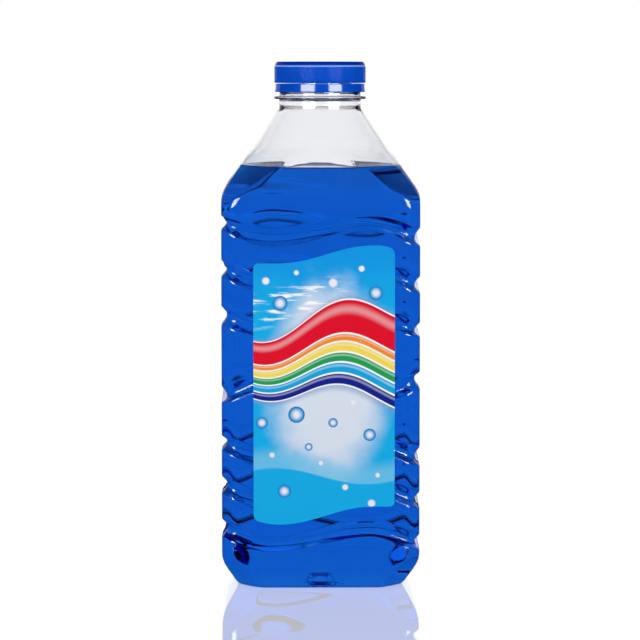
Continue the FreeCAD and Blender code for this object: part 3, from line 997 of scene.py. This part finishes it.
def white_floor():
    """White gloss sheet. The object's own shine shows it dark, and clear pieces show it shaded by slant."""
    material, tree, output = new_material("white_floor")
    matt = tree.nodes.new("ShaderNodeBsdfDiffuse")
    matt.inputs["Color"].default_value = (0.9, 0.9, 0.9, 1)
    glow = tree.nodes.new("ShaderNodeEmission")
    slant = tree.nodes.new("ShaderNodeLayerWeight")
    shades = tree.nodes.new("ShaderNodeValToRGB")
    for place, level in FLOOR_SHADES:
        stop = shades.color_ramp.elements.new(place)
        stop.color = (level, level, level, 1)
    shades.color_ramp.elements[0].color = (1, 1, 1, 1)
    brightness = tree.nodes.new("ShaderNodeMath")
    brightness.operation = "MULTIPLY"
    brightness.inputs[1].default_value = FLOOR_GLOW
    tree.links.new(slant.outputs["Facing"], shades.inputs["Fac"])
    through = tree.nodes.new("ShaderNodeMapRange")
    through.inputs["To Min"].default_value = 1.0
    tree.links.new(shades.outputs["Color"], through.inputs["To Max"])
    tree.links.new(any_ray(tree, "Is Transmission Ray"), through.inputs["Value"])
    tree.links.new(through.outputs[0], brightness.inputs[0])
    tree.links.new(brightness.outputs[0], glow.inputs["Strength"])
    gloss = tree.nodes.new("ShaderNodeBsdfGlossy")
    gloss.inputs["Color"].default_value = (1, 1, 1, 1)
    gloss.inputs["Roughness"].default_value = 0.03
    lit = tree.nodes.new("ShaderNodeMixShader")
    lit.inputs[0].default_value = 0.7
    tree.links.new(matt.outputs[0], lit.inputs[1])
    tree.links.new(glow.outputs[0], lit.inputs[2])
    shown = tree.nodes.new("ShaderNodeMixShader")
    shown.inputs[0].default_value = 0.55
    tree.links.new(lit.outputs[0], shown.inputs[1])
    tree.links.new(gloss.outputs[0], shown.inputs[2])
    dark = tree.nodes.new("ShaderNodeBsdfDiffuse")
    dark.inputs["Color"].default_value = (0.01, 0.01, 0.012, 1)
    other = tree.nodes.new("ShaderNodeMixShader")
    tree.links.new(any_ray(tree, "Is Glossy Ray"), other.inputs[0])
    tree.links.new(matt.outputs[0], other.inputs[1])
    tree.links.new(dark.outputs[0], other.inputs[2])
    either = tree.nodes.new("ShaderNodeMixShader")
    tree.links.new(any_ray(tree, "Is Camera Ray", "Is Transmission Ray"), either.inputs[0])
    tree.links.new(other.outputs[0], either.inputs[1])
    tree.links.new(shown.outputs[0], either.inputs[2])
    tree.links.new(either.outputs[0], output.inputs["Surface"])
    return material


floor = stage_plane("floor", FLOOR_HALF, FLOOR_HALF)
floor.location.z = FLOOR_DROP
floor.data.materials.append(white_floor())

world = bpy.data.worlds.new("white_surround")
bpy.context.scene.world = world
world.use_nodes = True
world_tree = world.node_tree
world_tree.nodes.clear()
background = world_tree.nodes.new("ShaderNodeBackground")
background.inputs["Color"].default_value = (1, 1, 1, 1)
strength = world_tree.nodes.new("ShaderNodeMapRange")
strength.inputs["To Min"].default_value = AMBIENT
strength.inputs["To Max"].default_value = 1.0
seen = any_ray(world_tree, "Is Camera Ray", "Is Glossy Ray", "Is Transmission Ray")
world_tree.links.new(seen, strength.inputs["Value"])
world_tree.links.new(strength.outputs[0], background.inputs["Strength"])
world_output = world_tree.nodes.new("ShaderNodeOutputWorld")
world_tree.links.new(background.outputs[0], world_output.inputs["Surface"])


def aim(thing, target):
    """Turn a lamp, a card or the camera towards a point."""
    thing.rotation_euler = (Vector(target) - thing.location).to_track_quat("-Z", "Y").to_euler()


def softbox(name, azimuth, distance, low, high, width, power, shine):
    """A lamp that lights the object, and a card in the same place that only reflections show."""
    middle = (low + high) / 2
    azimuth = math.radians(azimuth)
    place = Vector((math.sin(azimuth) * distance, -math.cos(azimuth) * distance, middle))
    lamp_data = bpy.data.lights.new(name, "AREA")
    lamp_data.shape = "RECTANGLE"
    lamp_data.size = width
    lamp_data.size_y = high - low
    lamp_data.energy = power
    lamp = bpy.data.objects.new(name, lamp_data)
    lamp.location = place
    lamp.visible_glossy = False
    lamp.visible_transmission = False
    aim(lamp, (0, 0, middle))
    bpy.context.collection.objects.link(lamp)
    card = stage_plane(name + "_card", width / 2, (high - low) / 2)
    card.location = place
    aim(card, (0, 0, middle))
    card.visible_camera = False
    card.visible_diffuse = False
    card.visible_transmission = False
    card.visible_shadow = False
    material, tree, output = new_material(name + "_shine")
    glow = tree.nodes.new("ShaderNodeEmission")
    glow.inputs["Strength"].default_value = shine
    tree.links.new(glow.outputs[0], output.inputs["Surface"])
    card.data.materials.append(material)


softbox("left_softbox", -32, 1.3, 0.18, 1.0, 0.85, 6.5, 16)
softbox("right_softbox", 40, 1.3, 0.18, 1.0, 0.80, 6.0, 16)
softbox("back_left_softbox", -140, 1.4, 0.25, 1.0, 0.7, 4.0, 0.4)
softbox("back_right_softbox", 148, 1.4, 0.25, 1.0, 0.7, 4.0, 0.4)
SCREEN_RADIUS = 1.9
SCREEN_HEIGHT = 2.2
SCREEN_REACH = math.radians(140)
SCREEN_STEPS = 48
OPENING_HEIGHT = 0.75
SEEN_THROUGH = 0.8
ROOF_SEEN_THROUGH = 1.4


def dark_screen():
    """A round screen with a roof and a gap at the back: dark in reflections, light through clear pieces."""
    bm = bmesh.new()
    start = Vector((-math.sin(SCREEN_REACH), -math.cos(SCREEN_REACH), 0)) * SCREEN_RADIUS
    for low, high, reach in ((0, OPENING_HEIGHT, SCREEN_REACH), (OPENING_HEIGHT, SCREEN_HEIGHT, math.pi)):
        profile = [bm.verts.new(start + Vector((0, 0, height))) for height in (low, high)]
        if reach == math.pi:
            profile.append(bm.verts.new((0, 0, SCREEN_HEIGHT)))
        edges = [bm.edges.new(pair) for pair in zip(profile, profile[1:])]
        bmesh.ops.spin(
            bm, geom=profile + edges, cent=(0, 0, 0), axis=(0, 0, 1), dvec=(0, 0, 0),
            angle=2 * reach, steps=SCREEN_STEPS, use_merge=reach == math.pi, use_duplicate=False,
        )
    bmesh.ops.remove_doubles(bm, verts=bm.verts, dist=0.0001)
    mesh = bpy.data.meshes.new("dark_screen")
    bm.to_mesh(mesh)
    bm.free()
    screen = bpy.data.objects.new("dark_screen", mesh)
    bpy.context.collection.objects.link(screen)
    screen.visible_camera = False
    screen.visible_diffuse = False
    screen.visible_shadow = False
    material, tree, output = new_material("dark_cloth")
    cloth = tree.nodes.new("ShaderNodeEmission")
    level = tree.nodes.new("ShaderNodeMapRange")
    place = tree.nodes.new("ShaderNodeTexCoord")
    parts = tree.nodes.new("ShaderNodeSeparateXYZ")
    above = tree.nodes.new("ShaderNodeMapRange")
    above.inputs["From Min"].default_value = OPENING_HEIGHT - 0.02
    above.inputs["From Max"].default_value = OPENING_HEIGHT + 0.08
    above.inputs["To Min"].default_value = SEEN_THROUGH
    above.inputs["To Max"].default_value = ROOF_SEEN_THROUGH
    tree.links.new(place.outputs["Object"], parts.inputs[0])
    tree.links.new(parts.outputs["Z"], above.inputs["Value"])
    tree.links.new(above.outputs[0], level.inputs["To Max"])
    tree.links.new(any_ray(tree, "Is Transmission Ray"), level.inputs["Value"])
    tree.links.new(level.outputs[0], cloth.inputs["Strength"])
    tree.links.new(cloth.outputs[0], output.inputs["Surface"])
    screen.data.materials.append(material)


dark_screen()

# Camera
# At the height of the cap, a metre and a half away, with a long lens, as in the photograph.
CAMERA_HEIGHT = 0.264
CAMERA_DISTANCE = 1.5
CAMERA_SIDE = -0.013
PITCH = math.radians(-5.09)
camera_data = bpy.data.cameras.new("camera")
camera_data.sensor_width = 36.0
camera_data.lens = 167.0
camera = bpy.data.objects.new("camera", camera_data)
camera.location = (CAMERA_SIDE, -CAMERA_DISTANCE, CAMERA_HEIGHT)
level_distance = math.hypot(CAMERA_SIDE, CAMERA_DISTANCE)
aim(camera, (0, 0, CAMERA_HEIGHT + level_distance * math.tan(PITCH)))
bpy.context.collection.objects.link(camera)
bpy.context.scene.camera = camera
bpy.context.scene.view_settings.view_transform = "Standard"
